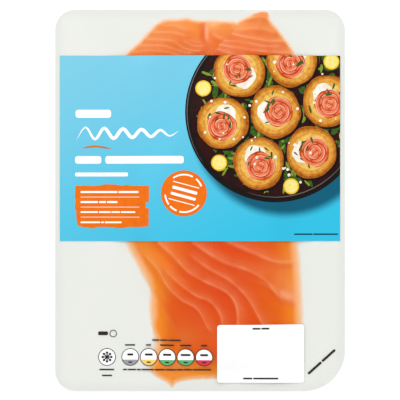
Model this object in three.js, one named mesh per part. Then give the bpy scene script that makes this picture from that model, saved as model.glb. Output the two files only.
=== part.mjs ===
// Flat vacuum pack of two smoked salmon slices: a white base board, two thin slices
// that overlap, a clear film sealed over them, a printed front label and a blank
// date panel. Millimetres, +Z up. The pack lies on its board with the front facing
// up, +Y runs to the top edge of the print and the origin is under the pack's centre.

import * as THREE from "three";

// ---------------------------------------------------------------- driving dimensions

const PACK_WIDTH = 127;
const PACK_LENGTH = 167;
const CORNER_RADIUS = 8.8;
const PEEL_CORNER_RADIUS = 18;
const BOARD_THICKNESS = 0.6;

const SLICE_THICKNESS = 3;
const SLICE_EDGE_THICKNESS = 0.5;
const SLICE_TAPER = 12;

const LAYER_GAP = 0.25;
const LAYER_SPREAD = 1.2;
const FILM_THICKNESS = 0.2;
const FILM_FOOT = 3;
const SEAL_WIDTH = 0.5;

const LABEL_WIDTH = 123;
const LABEL_BOTTOM = -18;
const LABEL_TOP = 63.3;
const LABEL_THICKNESS = 0.15;

const PANEL_LEFT = 7.5;
const PANEL_RIGHT = 45.7;
const PANEL_BOTTOM = -80.2;
const PANEL_TOP = -54.5;
const PANEL_RADIUS = 1.3;

const STICKER_GAP = 0.2;
const GRID_STEP = 4.7;
const FILM_SIDE_STEP = 9.5;
const FOOD_SIDE = 52;

// ---------------------------------------------------------------- slice outlines

// Each slice has four edges. The bottom and top edges run left to right, and the
// side edges run bottom to top, all through a few points in plan.
const UNDER_SLICE = {
  bottom: [
    [-22.1, -74.5], [-17.6, -78.5], [-14.1, -80.7], [-12.4, -82.3], [-10.9, -80.9],
    [-8.3, -79.3], [-1.8, -78.4], [7.5, -77.8], [17, -75.5], [26, -69],
  ],
  top: [
    [-20.2, 76.5], [-15.8, 79.3], [-10.5, 79.6], [-5.7, 79.8], [-1.3, 78.7],
    [4.4, 78], [10.5, 77.9], [16.7, 76.3], [22, 73.5], [26, 70],
  ],
  left: [
    [-22.1, -74.5], [-20.1, -63], [-21.6, -50], [-22, -38], [-27, -22], [-33, -5],
    [-36.4, 18], [-36.6, 40], [-33.5, 62.5], [-27, 69.5], [-20.2, 76.5],
  ],
  right: [
    [26, -69], [33, -56], [37.2, -38], [38.3, -20], [38.8, 0], [39, 18],
    [38.6, 35], [36.6, 48], [34, 58], [30.5, 64.5], [26, 70],
  ],
  columns: 18,
  rows: 30,
};

const TOP_SLICE = {
  bottom: [
    [8.3, -77.4], [17.6, -78.9], [25.5, -80], [33.4, -80.4], [40.4, -78.4], [43.5, -74.5],
  ],
  top: [
    [14.9, 76.7], [19.3, 79.3], [23.7, 81.6], [27.2, 82.5], [29.6, 82.1], [30.9, 80.2],
  ],
  left: [
    [8.3, -77.4], [-1.8, -70.3], [-11.9, -56.2], [-19, -45.8], [-22.4, -38], [-28.4, -26.5],
    [-32.4, -13.5], [-31.2, 0], [-20.7, 26.4], [-1.3, 54.9], [8.3, 68.6], [14.9, 76.7],
  ],
  right: [
    [43.5, -74.5], [44.8, -62], [44.3, -41.7], [43.2, -26], [42.4, -14], [44.3, 2],
    [45.3, 20], [45.1, 38], [43.6, 57], [41, 65.3], [36, 72.6], [30.9, 80.2],
  ],
  columns: 15,
  rows: 33,
};

// ---------------------------------------------------------------- plan geometry

function smoothStep(value) {
  const t = Math.min(1, Math.max(0, value));
  return t * t * (3 - 2 * t);
}

function curveThrough(points) {
  const corners = points.map(([x, y]) => new THREE.Vector3(x, y, 0));
  return new THREE.CatmullRomCurve3(corners, false, "centripetal");
}

function pointOn(curve, t) {
  const point = curve.getPoint(t);
  return [point.x, point.y];
}

// A grid of plan points inside the four edges: rows run bottom to top, and each row
// runs left to right. Both pairs of edges are blended, so the rim follows them.
function gridInside(slice) {
  const bottom = curveThrough(slice.bottom);
  const top = curveThrough(slice.top);
  const left = curveThrough(slice.left);
  const right = curveThrough(slice.right);
  const grid = [];
  for (let row = 0; row <= slice.rows; row += 1) {
    const v = row / slice.rows;
    const leftPoint = pointOn(left, v);
    const rightPoint = pointOn(right, v);
    const line = [];
    for (let column = 0; column <= slice.columns; column += 1) {
      const u = column / slice.columns;
      const bottomPoint = pointOn(bottom, u);
      const topPoint = pointOn(top, u);
      line.push([0, 1].map((axis) => {
        const across = (1 - u) * leftPoint[axis] + u * rightPoint[axis];
        const along = (1 - v) * bottomPoint[axis] + v * topPoint[axis];
        const low = (1 - u) * slice.bottom[0][axis] + u * slice.bottom.at(-1)[axis];
        const high = (1 - u) * slice.top[0][axis] + u * slice.top.at(-1)[axis];
        return across + along - (1 - v) * low - v * high;
      }));
    }
    grid.push(line);
  }
  return grid;
}

// The closed outline of a grid, anticlockwise from its lower left point.
function rimOf(grid) {
  const rows = grid.length - 1;
  const columns = grid[0].length - 1;
  const rim = [];
  for (let column = 0; column < columns; column += 1) rim.push(grid[0][column]);
  for (let row = 0; row < rows; row += 1) rim.push(grid[row][columns]);
  for (let column = columns; column > 0; column -= 1) rim.push(grid[rows][column]);
  for (let row = rows; row > 0; row -= 1) rim.push(grid[row][0]);
  return rim;
}

// How far a plan point lies inside an outline; outside it the answer is negative.
function depthInside(rim, x, y) {
  let nearest = Infinity;
  let inside = false;
  rim.forEach(([endX, endY], index) => {
    const [startX, startY] = rim[(index + rim.length - 1) % rim.length];
    const stepX = endX - startX;
    const stepY = endY - startY;
    const along = ((x - startX) * stepX + (y - startY) * stepY) / (stepX ** 2 + stepY ** 2);
    const t = Math.min(1, Math.max(0, along));
    nearest = Math.min(nearest, Math.hypot(x - startX - t * stepX, y - startY - t * stepY));
    if ((startY > y) !== (endY > y) && x < startX + (stepX * (y - startY)) / stepY) {
      inside = !inside;
    }
  });
  return inside ? nearest : -nearest;
}

// ---------------------------------------------------------------- rounded rectangles

const PACK = {
  left: -PACK_WIDTH / 2,
  right: PACK_WIDTH / 2,
  bottom: -PACK_LENGTH / 2,
  top: PACK_LENGTH / 2,
  radii: {
    bottomLeft: CORNER_RADIUS,
    bottomRight: PEEL_CORNER_RADIUS,
    topRight: CORNER_RADIUS,
    topLeft: CORNER_RADIUS,
  },
};

function rectangle(left, right, bottom, top, radius) {
  const radii = { bottomLeft: radius, bottomRight: radius, topRight: radius, topLeft: radius };
  return { left, right, bottom, top, radii };
}

function roundedShape({ left, right, bottom, top, radii }) {
  const shape = new THREE.Shape();
  const quarter = Math.PI / 2;
  const corners = [
    [left + radii.bottomLeft, bottom + radii.bottomLeft, radii.bottomLeft, 2],
    [right - radii.bottomRight, bottom + radii.bottomRight, radii.bottomRight, 3],
    [right - radii.topRight, top - radii.topRight, radii.topRight, 0],
    [left + radii.topLeft, top - radii.topLeft, radii.topLeft, 1],
  ];
  corners.forEach(([x, y, radius, turn]) => {
    shape.absarc(x, y, radius, turn * quarter, (turn + 1) * quarter, false);
  });
  shape.closePath();
  return shape;
}

// How far a rounded corner pulls a side in, at a height above the end of that side.
function cornerInset(radius, height) {
  if (height >= radius) return 0;
  const reach = Math.min(radius, radius - height);
  return radius - Math.sqrt(radius ** 2 - reach ** 2);
}

// Heights of the rows of a rounded rectangle: even turns round the corner arcs, and
// even steps between them.
function rowHeights({ bottom, top, radii }, arcSteps) {
  const lowRadius = Math.max(radii.bottomLeft, radii.bottomRight);
  const highRadius = Math.max(radii.topLeft, radii.topRight);
  const rows = [];
  for (let step = 0; step < arcSteps.low; step += 1) {
    rows.push(bottom + lowRadius * (1 - Math.cos((step / arcSteps.low) * (Math.PI / 2))));
  }
  const start = bottom + lowRadius;
  const span = top - highRadius - start;
  const count = Math.ceil(span / GRID_STEP);
  for (let step = 0; step <= count; step += 1) rows.push(start + (span * step) / count);
  for (let step = arcSteps.high - 1; step >= 0; step -= 1) {
    rows.push(top - highRadius * (1 - Math.cos((step / arcSteps.high) * (Math.PI / 2))));
  }
  return rows;
}

function evenSteps(start, end, size) {
  const count = Math.ceil((end - start) / size);
  return Array.from({ length: count + 1 }, (_, step) => start + ((end - start) * step) / count);
}

// A grid over a rounded rectangle; each row is squeezed to fit between the corners.
function gridOver(plate, columnPlaces, arcSteps) {
  const middle = (plate.left + plate.right) / 2;
  const half = (plate.right - plate.left) / 2;
  return rowHeights(plate, arcSteps).map((y) => {
    const leftInset = Math.max(
      cornerInset(plate.radii.bottomLeft, y - plate.bottom),
      cornerInset(plate.radii.topLeft, plate.top - y),
    );
    const rightInset = Math.max(
      cornerInset(plate.radii.bottomRight, y - plate.bottom),
      cornerInset(plate.radii.topRight, plate.top - y),
    );
    return columnPlaces.map((x) => {
      const inset = x < middle ? leftInset : rightInset;
      return [middle + ((x - middle) * (half - inset)) / half, y];
    });
  });
}

// ---------------------------------------------------------------- heights

const underGrid = gridInside(UNDER_SLICE);
const topGrid = gridInside(TOP_SLICE);
const underRim = rimOf(underGrid);
const topRim = rimOf(topGrid);
const packRim = roundedShape(PACK).getPoints(24).slice(1).map((point) => [point.x, point.y]);

// A slice is thin at its cut edge and reaches its full thickness further in.
function sliceThickness(depth) {
  const body = SLICE_THICKNESS - SLICE_EDGE_THICKNESS;
  return SLICE_EDGE_THICKNESS + body * smoothStep(depth / SLICE_TAPER);
}

// Rise of a layer that lies over a slice. It starts a little outside the slice's edge,
// and each further layer stays lifted a little further past that edge.
function riseOver(rim, x, y, layer) {
  const depth = depthInside(rim, x, y) + layer * LAYER_SPREAD;
  const foot = (SLICE_EDGE_THICKNESS + LAYER_GAP) * smoothStep(1 + depth / FILM_FOOT);
  return foot + sliceThickness(depth) - SLICE_EDGE_THICKNESS;
}

function riseOverBoth(x, y, layer) {
  return riseOver(underRim, x, y, layer) + riseOver(topRim, x, y, layer);
}

const boardTop = () => BOARD_THICKNESS;
const underTop = (x, y) => BOARD_THICKNESS + sliceThickness(depthInside(underRim, x, y));
const topBottom = (x, y) => BOARD_THICKNESS + riseOver(underRim, x, y, 1);
const topTop = (x, y) => topBottom(x, y) + sliceThickness(depthInside(topRim, x, y));

// The film lies flat on the board round the food and is pressed down at the pack's edge.
function filmBottom(x, y) {
  const press = smoothStep(depthInside(packRim, x, y) / SEAL_WIDTH);
  return BOARD_THICKNESS + riseOverBoth(x, y, 2) * press;
}

const filmTop = (x, y) => filmBottom(x, y) + FILM_THICKNESS;
const stickerBottom = (x, y) => {
  return BOARD_THICKNESS + FILM_THICKNESS + STICKER_GAP + riseOverBoth(x, y, 3);
};
const stickerTop = (x, y) => stickerBottom(x, y) + LABEL_THICKNESS;

// ---------------------------------------------------------------- solids

// Closed solid between two heights over a grid of plan points.
function slab(grid, bottomAt, topAt) {
  const rows = grid.length - 1;
  const columns = grid[0].length - 1;
  const plan = grid.flat();
  const layer = plan.length;
  const positions = [
    ...plan.flatMap(([x, y]) => [x, y, topAt(x, y)]),
    ...plan.flatMap(([x, y]) => [x, y, bottomAt(x, y)]),
  ];
  const at = (row, column) => row * (columns + 1) + column;
  const faces = [];
  for (let row = 0; row < rows; row += 1) {
    for (let column = 0; column < columns; column += 1) {
      const a = at(row, column);
      const b = at(row, column + 1);
      const c = at(row + 1, column + 1);
      const d = at(row + 1, column);
      const halves = (row + column) % 2 ? [[a, b, c], [a, c, d]] : [[a, b, d], [b, c, d]];
      halves.forEach(([p, q, r]) => faces.push(p, q, r, layer + p, layer + r, layer + q));
    }
  }
  const wall = (start, end) => {
    faces.push(layer + start, layer + end, end, layer + start, end, start);
  };
  for (let column = 0; column < columns; column += 1) {
    wall(at(0, column), at(0, column + 1));
    wall(at(rows, column + 1), at(rows, column));
  }
  for (let row = 0; row < rows; row += 1) {
    wall(at(row, columns), at(row + 1, columns));
    wall(at(row + 1, 0), at(row, 0));
  }
  const geometry = new THREE.BufferGeometry();
  geometry.setAttribute("position", new THREE.Float32BufferAttribute(positions, 3));
  geometry.setIndex(faces);
  geometry.computeVertexNormals();
  return geometry;
}

function namedMesh(name, geometry, look) {
  const mesh = new THREE.Mesh(geometry, new THREE.MeshStandardMaterial(look));
  mesh.name = name;
  return mesh;
}

// White base board, one corner rounder than the others to start the peel.
function backingBoard() {
  const geometry = new THREE.ExtrudeGeometry(roundedShape(PACK), {
    depth: BOARD_THICKNESS,
    bevelEnabled: false,
    curveSegments: 12,
  });
  return namedMesh("backing_board", geometry, { color: 0xefefeb, roughness: 0.55, metalness: 0 });
}

// The lower slice lies on the board and shows at the upper left and lower left.
function underSlice() {
  const geometry = slab(underGrid, boardTop, underTop);
  return namedMesh("slice_under", geometry, { color: 0xf0863c, roughness: 0.45, metalness: 0 });
}

// The upper slice lies over the lower one and sags past its edge.
function topSlice() {
  const geometry = slab(topGrid, topBottom, topTop);
  return namedMesh("slice_top", geometry, { color: 0xe65a26, roughness: 0.45, metalness: 0 });
}

// Clear film sealed to the board round its rim, with a pocket for the slices.
function coverFilm() {
  const columns = [
    ...evenSteps(PACK.left, -FOOD_SIDE, FILM_SIDE_STEP).slice(0, -1),
    ...evenSteps(-FOOD_SIDE, FOOD_SIDE, GRID_STEP),
    ...evenSteps(FOOD_SIDE, PACK.right, FILM_SIDE_STEP).slice(1),
  ];
  const grid = gridOver(PACK, columns, { low: 6, high: 4 });
  const look = { color: 0xf4f6f2, roughness: 0.15, metalness: 0, transparent: true, opacity: 0.3 };
  return namedMesh("cover_film", slab(grid, filmBottom, filmTop), look);
}

// Printed label stuck to the film right across the pack.
function frontLabel() {
  const plate = rectangle(-LABEL_WIDTH / 2, LABEL_WIDTH / 2, LABEL_BOTTOM, LABEL_TOP, 0);
  const columns = evenSteps(plate.left, plate.right, GRID_STEP);
  const grid = gridOver(plate, columns, { low: 0, high: 0 });
  const look = { color: 0x6ecdec, roughness: 0.4, metalness: 0 };
  return namedMesh("front_label", slab(grid, stickerBottom, stickerTop), look);
}

// Small blank white panel for a date, near the peel corner.
function datePanel() {
  const plate = rectangle(PANEL_LEFT, PANEL_RIGHT, PANEL_BOTTOM, PANEL_TOP, PANEL_RADIUS);
  const columns = evenSteps(plate.left, plate.right, GRID_STEP);
  const grid = gridOver(plate, columns, { low: 3, high: 3 });
  const look = { color: 0xffffff, roughness: 0.4, metalness: 0 };
  return namedMesh("date_panel", slab(grid, stickerBottom, stickerTop), look);
}

const pack = new THREE.Group();
pack.add(backingBoard(), underSlice(), topSlice(), coverFilm(), frontLabel(), datePanel());

export default pack;
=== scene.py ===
"""A flat vacuum pack of two smoked salmon slices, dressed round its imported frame.

Lengths are metres, written as millimetres times MM. The pack lies on its board with
its front up, +Y runs to the top edge of the print and the origin is under its centre.
"""

import math
import random

import bpy
import numpy as np
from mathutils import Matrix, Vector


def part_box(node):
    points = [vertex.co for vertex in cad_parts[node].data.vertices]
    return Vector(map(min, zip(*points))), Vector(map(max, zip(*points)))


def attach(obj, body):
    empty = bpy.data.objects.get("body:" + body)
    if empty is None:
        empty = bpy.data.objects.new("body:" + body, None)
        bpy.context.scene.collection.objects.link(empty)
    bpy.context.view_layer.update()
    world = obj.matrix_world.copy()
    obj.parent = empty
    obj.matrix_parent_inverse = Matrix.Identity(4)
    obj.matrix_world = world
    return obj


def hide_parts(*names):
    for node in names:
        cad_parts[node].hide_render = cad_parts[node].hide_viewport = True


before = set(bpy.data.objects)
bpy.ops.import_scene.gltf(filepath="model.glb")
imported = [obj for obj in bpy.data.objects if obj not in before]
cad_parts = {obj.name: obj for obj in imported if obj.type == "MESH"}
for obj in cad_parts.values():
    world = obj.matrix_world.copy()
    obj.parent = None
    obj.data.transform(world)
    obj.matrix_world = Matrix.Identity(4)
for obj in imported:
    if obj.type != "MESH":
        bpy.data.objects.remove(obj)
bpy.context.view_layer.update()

MM = 0.001

# ---- sizes

BOARD_LOW, BOARD_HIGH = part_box("backing_board")
LABEL_LOW, LABEL_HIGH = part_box("front_label")
PANEL_LOW, PANEL_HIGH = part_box("date_panel")
HALF_WIDTH = BOARD_HIGH.x
HALF_LENGTH = BOARD_HIGH.y
BOARD_TOP = BOARD_HIGH.z

CORNER_RADIUS = 8.8 * MM
PEEL_CORNER_RADIUS = 18 * MM
PANEL_RADIUS = 1.3 * MM

SLICE_THICKNESS = 3 * MM
SLICE_EDGE_THICKNESS = 0.5 * MM
FEATHER_THICKNESS = 0.02 * MM
SLICE_TAPER = 12 * MM
SLICE_RIM = 2.4 * MM
SLICE_COLUMNS = 150
SLICE_ROWS = 270
SLICE_CROWDING = 0.3

# The slices swell softly, and dip a little along each fat line and below it.
SWELL_HEIGHT = 0.05 * MM
SWELL_LENGTH = 16 * MM
FAT_DIP = 0.08 * MM
RELIEF_REACH = 4 * MM

LAYER_GAP = 0.12 * MM
DRAPE_REACH = 1 * MM
FILM_FOOT = 3 * MM
PRINTED_FILM_FOOT = 7 * MM
UNDER_SPREAD = 0.6 * MM
OVER_SPREAD = 0.4 * MM
FILM_THICKNESS = 0.07 * MM
FILM_GAP = 0.03 * MM
SEAL_WIDTH = 0.5 * MM
SEAL_HAZE_WIDTH = 3 * MM
LABEL_THICKNESS = 0.1 * MM
LABEL_CELL = 0.8 * MM
STICKER_GAP = 0.03 * MM
SMOOTH_ANGLE = math.radians(50)
INK_STEP = 0.024 * MM
INK_THICKNESS = 0.014 * MM
INK_LIFT = 0.0015 * MM

# The round dish printed on the label: its middle and radii, in millimetres.
DISH_CENTRE = (33.0, 38.5)
DISH_SHADOW_CENTRE = (37.2, 33.8)
DISH_RADIUS = 39.5
WELL_RADIUS = 36.9
LEMON_RING = 33.2
PANCAKE_RING = 23.6
PANCAKE_RADIUS = 11.3
ROSETTE_RADIUS = 6.4
ROSETTE_OFFSET = 1.4
CREAM_OFFSET = 3.4

# What a white surface sends back under the studio light, against paper white, and how
# much of the light comes back as sheen, from satin surfaces and from printed ink.
STUDIO_GAIN = 1.1
SATIN_SHEEN = 0.03
INK_SHEEN = 0.01
PRINT_WHITE = (0.95, 0.95, 0.95)


# ---- small helpers


def smooth_step(value):
    t = np.clip(value, 0, 1)
    return t * t * (3 - 2 * t)


def deselect():
    bpy.ops.object.select_all(action="DESELECT")


def named(name):
    piece = bpy.context.object
    piece.name = name
    piece.data.name = name
    return piece


def read_points(piece):
    points = np.empty(len(piece.data.vertices) * 3)
    piece.data.vertices.foreach_get("co", points)
    return points.reshape(-1, 3)


def write_points(piece, x, y, z):
    points = np.stack([x, y, z], axis=1)
    piece.data.vertices.foreach_set("co", points.ravel())
    piece.data.update()


def write_attribute(piece, name, values):
    attribute = piece.data.attributes.new(name, "FLOAT", "POINT")
    attribute.data.foreach_set("value", values)


def ripple(x, y, wavelength, seed, waves=9):
    """Soft random height between about -1 and 1, with bumps about a wavelength apart."""
    draw = random.Random(seed)
    total = np.zeros_like(x)
    for _ in range(waves):
        turn = draw.uniform(0, math.tau)
        pace = math.tau / (wavelength * draw.uniform(0.7, 1.6))
        phase = draw.uniform(0, math.tau)
        total += np.sin(pace * (x * math.cos(turn) + y * math.sin(turn)) + phase)
    return total / math.sqrt(waves)


# ---- plan geometry


def curve_through(points, steps):
    """A smooth open curve through plan points in millimetres, evenly many steps to each."""
    knots = np.array(points, float) * MM
    legs = np.diff(knots, axis=0)
    pace = np.sqrt(np.linalg.norm(legs, axis=1))[:, None]
    slopes = np.empty_like(knots)
    slopes[0] = legs[0] / pace[0]
    slopes[-1] = legs[-1] / pace[-1]
    spread = (legs[:-1] + legs[1:]) / (pace[:-1] + pace[1:])
    slopes[1:-1] = legs[:-1] / pace[:-1] - spread + legs[1:] / pace[1:]
    t = np.linspace(0, 1, steps, endpoint=False)[None, :, None]
    start = knots[:-1, None]
    leave = (slopes[:-1] * pace)[:, None]
    arrive = (slopes[1:] * pace)[:, None]
    leg = legs[:, None]
    curve = start + leave * t + (3 * leg - 2 * leave - arrive) * t**2
    curve += (leave + arrive - 2 * leg) * t**3
    return np.vstack([curve.reshape(-1, 2), knots[-1:]])


def along(curve, t):
    places = np.linspace(0, 1, len(curve))
    return np.stack([np.interp(t, places, curve[:, 0]), np.interp(t, places, curve[:, 1])])


def nearest_on(path, x, y, closed=False):
    """For each point: distance to a path, place along it, and the side it lies on."""
    ends = np.roll(path, -1, axis=0) if closed else path[1:]
    starts = path if closed else path[:-1]
    distance = np.full(x.shape, np.inf)
    run = np.zeros_like(x)
    side = np.zeros_like(x)
    inside = np.zeros(x.shape, bool)
    travelled = 0.0
    for (start_x, start_y), (end_x, end_y) in zip(starts, ends):
        step_x = end_x - start_x
        step_y = end_y - start_y
        length = math.hypot(step_x, step_y)
        across = (x - start_x) * step_x + (y - start_y) * step_y
        t = np.clip(across / length**2, 0, 1)
        gap = np.hypot(x - start_x - t * step_x, y - start_y - t * step_y)
        closer = gap < distance
        distance = np.where(closer, gap, distance)
        run = np.where(closer, travelled + t * length, run)
        turn = step_x * (y - start_y) - step_y * (x - start_x)
        side = np.where(closer, np.sign(turn), side)
        if start_y != end_y:
            crossing = start_x + step_x * (y - start_y) / step_y
            inside ^= ((start_y > y) != (end_y > y)) & (x < crossing)
        travelled += length
    return distance, run, side, inside


class SlicePlan:
    """The plan of a slice. Its bottom and top edges run left to right, its sides bottom
    to top, and every point inside is a blend of the four."""

    STEPS = 6

    def __init__(self, bottom, top, left, right):
        self.bottom, self.top, self.left, self.right = (
            curve_through(edge, self.STEPS) for edge in (bottom, top, left, right)
        )
        self.rim = np.vstack([self.bottom[:-1], self.right[:-1], self.top[:0:-1], self.left[:0:-1]])

    def place(self, u, v):
        across = (1 - u) * along(self.left, v) + u * along(self.right, v)
        upward = (1 - v) * along(self.bottom, u) + v * along(self.top, u)
        low = (1 - u) * self.bottom[0][:, None] + u * self.bottom[-1][:, None]
        high = (1 - u) * self.top[0][:, None] + u * self.top[-1][:, None]
        return across + upward - (1 - v) * low - v * high

    def depth_and_run(self, x, y):
        """How far a point lies inside the rim, negative outside it, and how far round the
        rim the nearest place is."""
        distance, run, _, inside = nearest_on(self.rim, x, y, closed=True)
        return np.where(inside, distance, -distance), run

    def depth(self, x, y):
        return self.depth_and_run(x, y)[0]


# The slices' edges, in millimetres.
UNDER = SlicePlan(
    bottom=[
        (-22.6, -74.8), (-19.9, -77.5), (-17.2, -79.1), (-14.6, -80.5), (-12.2, -82.6),
        (-10.4, -80.9), (-8.2, -80), (-1.6, -79.1), (7.5, -78.6), (17, -75.5), (26, -69),
    ],
    top=[
        (-20.6, 76.7), (-18.5, 78.3), (-15.6, 79.6), (-10.3, 79.9), (-5, 80.3), (-2.2, 79.5),
        (5.5, 79.3), (10.8, 79), (16, 78.6), (22, 75), (26, 70),
    ],
    left=[
        (-22.6, -74.8), (-20.4, -63), (-22.2, -52), (-22.7, -46), (-22.1, -41), (-27, -22),
        (-33, -5), (-36.4, 18), (-36.8, 40), (-34, 62.7), (-27.4, 69.4), (-20.6, 76.7),
    ],
    right=[
        (26, -69), (33, -56), (37.2, -38), (38.3, -20), (38.8, 0), (39, 18),
        (38.6, 35), (36.6, 48), (34, 58), (30.5, 64.5), (26, 70),
    ],
)

OVER = SlicePlan(
    bottom=[
        (8.3, -77.9), (17.6, -79.2), (25.5, -80.4), (33.4, -80.9), (40.4, -79), (44.3, -74.7),
    ],
    top=[
        (15.4, 78.2), (18.7, 80), (21.3, 81.1), (23.9, 82.3), (26.6, 83), (29.2, 83),
        (30.7, 81.4),
    ],
    left=[
        (8.3, -77.9), (-1.8, -70.3), (-10.9, -57.6), (-14.2, -50.9), (-18, -45), (-23.1, -37.6),
        (-28.5, -27.8), (-33.4, -17), (-32.5, 0), (-20.7, 26.4), (-1.3, 54.9),
        (7.8, 67.5), (11.3, 71.3), (13.8, 73.2), (15.4, 78.2),
    ],
    right=[
        (44.3, -74.7), (45.6, -62), (45.2, -41.7), (44.4, -28), (43.4, -16), (44.6, 2),
        (45.6, 20), (45.4, 38), (44.2, 57), (41.4, 65.6), (37, 72.2), (33.8, 76.3),
        (31.5, 78.9), (30.7, 81.4),
    ],
)


class RoundedPlate:
    """The plan of a plate with round corners, filled row by row."""

    ARC_STEPS = 10

    def __init__(self, low, high, radii, columns, rows):
        self.low, self.high = low, high
        self.low_left, self.low_right, self.high_right, self.high_left = radii
        self.columns = columns
        turns = np.linspace(0, math.pi / 2, self.ARC_STEPS, endpoint=False)
        low_arc = low.y + max(radii[:2]) * (1 - np.cos(turns))
        high_arc = high.y - max(radii[2:]) * (1 - np.cos(turns[::-1]))
        even = np.linspace(low.y + max(radii[:2]), high.y - max(radii[2:]), rows + 1)
        self.heights = np.concatenate([low_arc, even, high_arc])
        self.rows = len(self.heights) - 1

    @staticmethod
    def inset(radius, height):
        reach = radius - np.clip(height, 0, radius)
        return radius - np.sqrt(radius**2 - reach**2)

    def place(self, u, v):
        y = np.interp(v * self.rows, np.arange(self.rows + 1), self.heights)
        from_low = y - self.low.y
        from_high = self.high.y - y
        left = self.low.x + np.maximum(
            self.inset(self.low_left, from_low), self.inset(self.high_left, from_high)
        )
        right = self.high.x - np.maximum(
            self.inset(self.low_right, from_low), self.inset(self.high_right, from_high)
        )
        return left + (right - left) * u, y

    def edge_distance(self, x, y):
        """Distance in from the nearest edge, round the corners too."""
        middle = (self.low + self.high) / 2
        half = (self.high - self.low) / 2
        right = x > middle.x
        upper = y > middle.y
        radius = np.where(
            upper,
            np.where(right, self.high_right, self.high_left),
            np.where(right, self.low_right, self.low_left),
        )
        out_x = np.abs(x - middle.x) - half.x + radius
        out_y = np.abs(y - middle.y) - half.y + radius
        outer = np.hypot(np.maximum(out_x, 0), np.maximum(out_y, 0))
        return radius - outer - np.minimum(np.maximum(out_x, out_y), 0)


PACK_CORNERS = (CORNER_RADIUS, PEEL_CORNER_RADIUS, CORNER_RADIUS, CORNER_RADIUS)
PACK = RoundedPlate(BOARD_LOW, BOARD_HIGH, PACK_CORNERS, columns=150, rows=165)
PANEL = RoundedPlate(PANEL_LOW, PANEL_HIGH, (PANEL_RADIUS,) * 4, columns=44, rows=26)


# ---- heights


def slice_thickness(depth):
    """Feathered at the cut edge, the edge thickness a little way in, full thickness later."""
    edge = FEATHER_THICKNESS + SLICE_EDGE_THICKNESS * smooth_step(depth / SLICE_RIM)
    body = SLICE_THICKNESS - SLICE_EDGE_THICKNESS - FEATHER_THICKNESS
    return edge + body * smooth_step(depth / SLICE_TAPER)


def rise_over(plan, x, y, spread, reach):
    """How far a slice lifts what lies over it, and how far out from its rim it still does."""
    depth = plan.depth(x, y) + spread
    edge = SLICE_EDGE_THICKNESS + LAYER_GAP
    foot = edge * smooth_step((depth + reach) / (SLICE_RIM + reach))
    body = SLICE_THICKNESS - SLICE_EDGE_THICKNESS
    return foot + body * smooth_step(depth / SLICE_TAPER)


def food_depth(x, y):
    """How far a point lies inside the two slices taken together."""
    return np.maximum(UNDER.depth(x, y), OVER.depth(x, y))


def over_low(x, y):
    """The upper slice drapes over the lower one, and down onto the board beside it."""
    depth = UNDER.depth(x, y)
    drape = np.where(depth > 0, slice_thickness(depth), 0)
    gap = LAYER_GAP * smooth_step(OVER.depth(x, y) / DRAPE_REACH) + FEATHER_THICKNESS / 2
    return BOARD_TOP + drape + gap * smooth_step(1 + depth / DRAPE_REACH)


# Where the film is printed it lies smooth: low and high corners, in millimetres.
INK_AREAS = [((-62, -19), (62, 64)), ((-47, -80), (7, -54))]
PANEL_AREA = ((7, -81), (47, -54))


def outside_print(x, y, areas):
    """0 on the printed areas, 1 from a few millimetres away."""
    clear = np.ones_like(x)
    for low, high in areas:
        out_x = np.maximum(low[0] * MM - x, x - high[0] * MM)
        out_y = np.maximum(low[1] * MM - y, y - high[1] * MM)
        clear *= smooth_step(np.maximum(out_x, out_y) / (5 * MM))
    return clear


def folds(plan, other, x, y, seed):
    """Small creases that the film makes where it comes down beside a slice."""
    depth, run = plan.depth_and_run(x, y)
    draw = random.Random(seed)
    length = float(np.linalg.norm(np.diff(plan.rim, axis=0), axis=1).sum())
    total = np.zeros_like(x)
    place = 0.0
    while place < length:
        width = draw.uniform(0.5, 0.9) * MM
        reach = draw.uniform(2, 6) * MM
        height = draw.uniform(0.03, 0.12) * MM
        ridge = np.exp(-(((run - place) / width) ** 2))
        fade = smooth_step(1 + depth / reach) * (1 - smooth_step(depth / (2 * MM)))
        total += height * ridge * fade
        place += draw.uniform(5, 16) * MM
    total *= outside_print(x, y, INK_AREAS + [PANEL_AREA])
    return total * smooth_step(-other.depth(x, y) / (1.5 * MM))


def film_low(x, y):
    clear = outside_print(x, y, INK_AREAS)
    reach = PRINTED_FILM_FOOT + (FILM_FOOT - PRINTED_FILM_FOOT) * clear
    rise = rise_over(UNDER, x, y, UNDER_SPREAD, reach) + rise_over(OVER, x, y, OVER_SPREAD, reach)
    rise += folds(UNDER, OVER, x, y, seed=5) + folds(OVER, UNDER, x, y, seed=8)
    return BOARD_TOP + FILM_GAP + rise * smooth_step(PACK.edge_distance(x, y) / SEAL_WIDTH)


def film_high(x, y):
    return film_low(x, y) + FILM_THICKNESS


def label_low(x, y):
    return film_high(x, y) + STICKER_GAP


def label_high(x, y):
    return label_low(x, y) + LABEL_THICKNESS


# ---- finishes


def operator(operation, swapped=False):
    """One of Python's operators on a Number, which adds a Math node."""

    def act(self, *others):
        values = (*others, self) if swapped else (self, *others)
        node = self.finish.node("Math", {"operation": operation}, dict(enumerate(values)))
        return Number(self.finish, node.outputs[0])

    return act


class Number:
    """A number on its way through a material."""

    def __init__(self, finish, socket):
        self.finish = finish
        self.socket = socket

    __add__ = operator("ADD")
    __radd__ = operator("ADD", swapped=True)
    __sub__ = operator("SUBTRACT")
    __rsub__ = operator("SUBTRACT", swapped=True)
    __mul__ = operator("MULTIPLY")
    __rmul__ = operator("MULTIPLY", swapped=True)
    __truediv__ = operator("DIVIDE")
    __rtruediv__ = operator("DIVIDE", swapped=True)
    __pow__ = operator("POWER")
    __rpow__ = operator("POWER", swapped=True)
    __abs__ = operator("ABSOLUTE")

    def __neg__(self):
        return self * -1


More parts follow.
